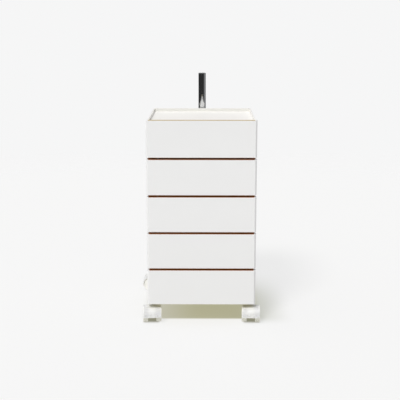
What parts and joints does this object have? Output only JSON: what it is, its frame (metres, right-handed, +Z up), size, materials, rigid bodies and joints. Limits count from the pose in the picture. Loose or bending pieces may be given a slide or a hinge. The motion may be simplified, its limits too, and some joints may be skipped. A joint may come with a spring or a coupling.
{
  "type": "mobile drawer unit",
  "caption": "White mobile drawer unit on hooded twin-wheel castors: a stack of full-width sliding drawers, a sunk tray top and a chrome accessory post behind.",
  "frame": {"origin": "on the floor, below the middle of the cabinet's width and depth", "axes": "+Z up, the drawer fronts face -Y, +X is the right-hand side seen from the front"},
  "size_m": [0.398, 0.4458, 0.763],
  "materials": {
    "front_board": "white laminate faces with bare wood-toned top and bottom edges",
    "cabinet_board": "white lacquered board",
    "dowel_wood": "fluted beech dowel",
    "drawer_board": "bare wood-toned board, sealed",
    "slide_steel": "zinc plated, rolled",
    "screw_steel": "zinc plated",
    "axle_steel": "turned steel",
    "post_chrome": "polished chrome plate",
    "bracket_metal": "cast, satin",
    "socket_plastic": "moulded",
    "castor_plastic": "white moulded hood",
    "wheel_plastic": "light grey hard tread"
  },
  "bodies": {
    "cabinet": {"cabinet_side_left": "cabinet_board", "cabinet_side_right": "cabinet_board", "cabinet_bottom": "cabinet_board", "cabinet_top": "cabinet_board", "cabinet_back": "cabinet_board", "cabinet_dowels": "dowel_wood", "back_screws": "screw_steel", "post_tube": "post_chrome", "post_cap": "post_chrome", "post_bracket": "bracket_metal", "bracket_screws": "screw_steel", "castor_sockets": "socket_plastic", "castor_stems": "axle_steel", "slide_rails_left": "slide_steel", "slide_rails_right": "slide_steel", "rail_screws": "screw_steel"},
    "bottom_drawer": {"bottom_drawer_front": "front_board", "bottom_drawer_box": "drawer_board", "bottom_drawer_slide_members": "slide_steel", "bottom_drawer_screws": "screw_steel"},
    "bottom_slide_middle": {"bottom_slide_middle_members": "slide_steel"},
    "fourth_drawer": {"fourth_drawer_front": "front_board", "fourth_drawer_box": "drawer_board", "fourth_drawer_slide_members": "slide_steel", "fourth_drawer_screws": "screw_steel"},
    "fourth_slide_middle": {"fourth_slide_middle_members": "slide_steel"},
    "third_drawer": {"third_drawer_front": "front_board", "third_drawer_box": "drawer_board", "third_drawer_slide_members": "slide_steel", "third_drawer_screws": "screw_steel"},
    "third_slide_middle": {"third_slide_middle_members": "slide_steel"},
    "second_drawer": {"second_drawer_front": "front_board", "second_drawer_box": "drawer_board", "second_drawer_slide_members": "slide_steel", "second_drawer_screws": "screw_steel"},
    "second_slide_middle": {"second_slide_middle_members": "slide_steel"},
    "top_drawer": {"top_drawer_front": "front_board", "top_drawer_box": "drawer_board", "top_drawer_slide_members": "slide_steel", "top_drawer_screws": "screw_steel"},
    "top_slide_middle": {"top_slide_middle_members": "slide_steel"},
    "front_left_castor": {"front_left_castor_hood": "castor_plastic", "front_left_castor_axle": "axle_steel"},
    "front_left_left_wheel": {"front_left_castor_left_wheel": "wheel_plastic"},
    "front_left_right_wheel": {"front_left_castor_right_wheel": "wheel_plastic"},
    "front_right_castor": {"front_right_castor_hood": "castor_plastic", "front_right_castor_axle": "axle_steel"},
    "front_right_left_wheel": {"front_right_castor_left_wheel": "wheel_plastic"},
    "front_right_right_wheel": {"front_right_castor_right_wheel": "wheel_plastic"},
    "rear_left_castor": {"rear_left_castor_hood": "castor_plastic", "rear_left_castor_axle": "axle_steel"},
    "rear_left_left_wheel": {"rear_left_castor_left_wheel": "wheel_plastic"},
    "rear_left_right_wheel": {"rear_left_castor_right_wheel": "wheel_plastic"},
    "rear_right_castor": {"rear_right_castor_hood": "castor_plastic", "rear_right_castor_axle": "axle_steel"},
    "rear_right_left_wheel": {"rear_right_castor_left_wheel": "wheel_plastic"},
    "rear_right_right_wheel": {"rear_right_castor_right_wheel": "wheel_plastic"}
  },
  "joints": [
    {"name": "bottom_drawer_slide", "type": "slide", "parent": "cabinet", "child": "bottom_drawer", "axis": [0, -1, 0], "range_m": [0, 0.3]},
    {"name": "bottom_middle_slide", "type": "slide", "parent": "cabinet", "child": "bottom_slide_middle", "axis": [0, -1, 0], "range_m": [0, 0.15]},
    {"name": "fourth_drawer_slide", "type": "slide", "parent": "cabinet", "child": "fourth_drawer", "axis": [0, -1, 0], "range_m": [0, 0.3]},
    {"name": "fourth_middle_slide", "type": "slide", "parent": "cabinet", "child": "fourth_slide_middle", "axis": [0, -1, 0], "range_m": [0, 0.15]},
    {"name": "third_drawer_slide", "type": "slide", "parent": "cabinet", "child": "third_drawer", "axis": [0, -1, 0], "range_m": [0, 0.3]},
    {"name": "third_middle_slide", "type": "slide", "parent": "cabinet", "child": "third_slide_middle", "axis": [0, -1, 0], "range_m": [0, 0.15]},
    {"name": "second_drawer_slide", "type": "slide", "parent": "cabinet", "child": "second_drawer", "axis": [0, -1, 0], "range_m": [0, 0.3]},
    {"name": "second_middle_slide", "type": "slide", "parent": "cabinet", "child": "second_slide_middle", "axis": [0, -1, 0], "range_m": [0, 0.15]},
    {"name": "top_drawer_slide", "type": "slide", "parent": "cabinet", "child": "top_drawer", "axis": [0, -1, 0], "range_m": [0, 0.3]},
    {"name": "top_middle_slide", "type": "slide", "parent": "cabinet", "child": "top_slide_middle", "axis": [0, -1, 0], "range_m": [0, 0.15]},
    {"name": "front_left_castor_swivel", "type": "hinge", "parent": "cabinet", "child": "front_left_castor", "pos_m": [-0.159, -0.15, 0.025], "axis": [0, 0, 1], "continuous": true},
    {"name": "front_left_left_wheel_spin", "type": "hinge", "parent": "front_left_castor", "child": "front_left_left_wheel", "pos_m": [-0.15754, -0.17095, 0.025], "axis": [0.9976, 0.0698, 0], "continuous": true},
    {"name": "front_left_right_wheel_spin", "type": "hinge", "parent": "front_left_castor", "child": "front_left_right_wheel", "pos_m": [-0.15754, -0.17095, 0.025], "axis": [0.9976, 0.0698, 0], "continuous": true},
    {"name": "front_right_castor_swivel", "type": "hinge", "parent": "cabinet", "child": "front_right_castor", "pos_m": [0.159, -0.15, 0.025], "axis": [0, 0, 1], "continuous": true},
    {"name": "front_right_left_wheel_spin", "type": "hinge", "parent": "front_right_castor", "child": "front_right_left_wheel", "pos_m": [0.1579, -0.17097, 0.025], "axis": [0.9986, -0.0523, 0], "continuous": true},
    {"name": "front_right_right_wheel_spin", "type": "hinge", "parent": "front_right_castor", "child": "front_right_right_wheel", "pos_m": [0.1579, -0.17097, 0.025], "axis": [0.9986, -0.0523, 0], "continuous": true},
    {"name": "rear_left_castor_swivel", "type": "hinge", "parent": "cabinet", "child": "rear_left_castor", "pos_m": [-0.159, 0.171, 0.025], "axis": [0, 0, 1], "continuous": true},
    {"name": "rear_left_left_wheel_spin", "type": "hinge", "parent": "rear_left_castor", "child": "rear_left_left_wheel", "pos_m": [-0.17999, 0.17027, 0.025], "axis": [0.0349, -0.9994, 0], "continuous": true},
    {"name": "rear_left_right_wheel_spin", "type": "hinge", "parent": "rear_left_castor", "child": "rear_left_right_wheel", "pos_m": [-0.17999, 0.17027, 0.025], "axis": [0.0349, -0.9994, 0], "continuous": true},
    {"name": "rear_right_castor_swivel", "type": "hinge", "parent": "cabinet", "child": "rear_right_castor", "pos_m": [0.159, 0.171, 0.025], "axis": [0, 0, 1], "continuous": true},
    {"name": "rear_right_left_wheel_spin", "type": "hinge", "parent": "rear_right_castor", "child": "rear_right_left_wheel", "pos_m": [0.15357, 0.19128, 0.025], "axis": [-0.9659, -0.2588, 0], "continuous": true},
    {"name": "rear_right_right_wheel_spin", "type": "hinge", "parent": "rear_right_castor", "child": "rear_right_right_wheel", "pos_m": [0.15357, 0.19128, 0.025], "axis": [-0.9659, -0.2588, 0], "continuous": true}
  ],
  "couplings": [
    {"joint": "bottom_middle_slide", "follows": "bottom_drawer_slide", "ratio": 0.5},
    {"joint": "fourth_middle_slide", "follows": "fourth_drawer_slide", "ratio": 0.5},
    {"joint": "third_middle_slide", "follows": "third_drawer_slide", "ratio": 0.5},
    {"joint": "second_middle_slide", "follows": "second_drawer_slide", "ratio": 0.5},
    {"joint": "top_middle_slide", "follows": "top_drawer_slide", "ratio": 0.5}
  ]
}
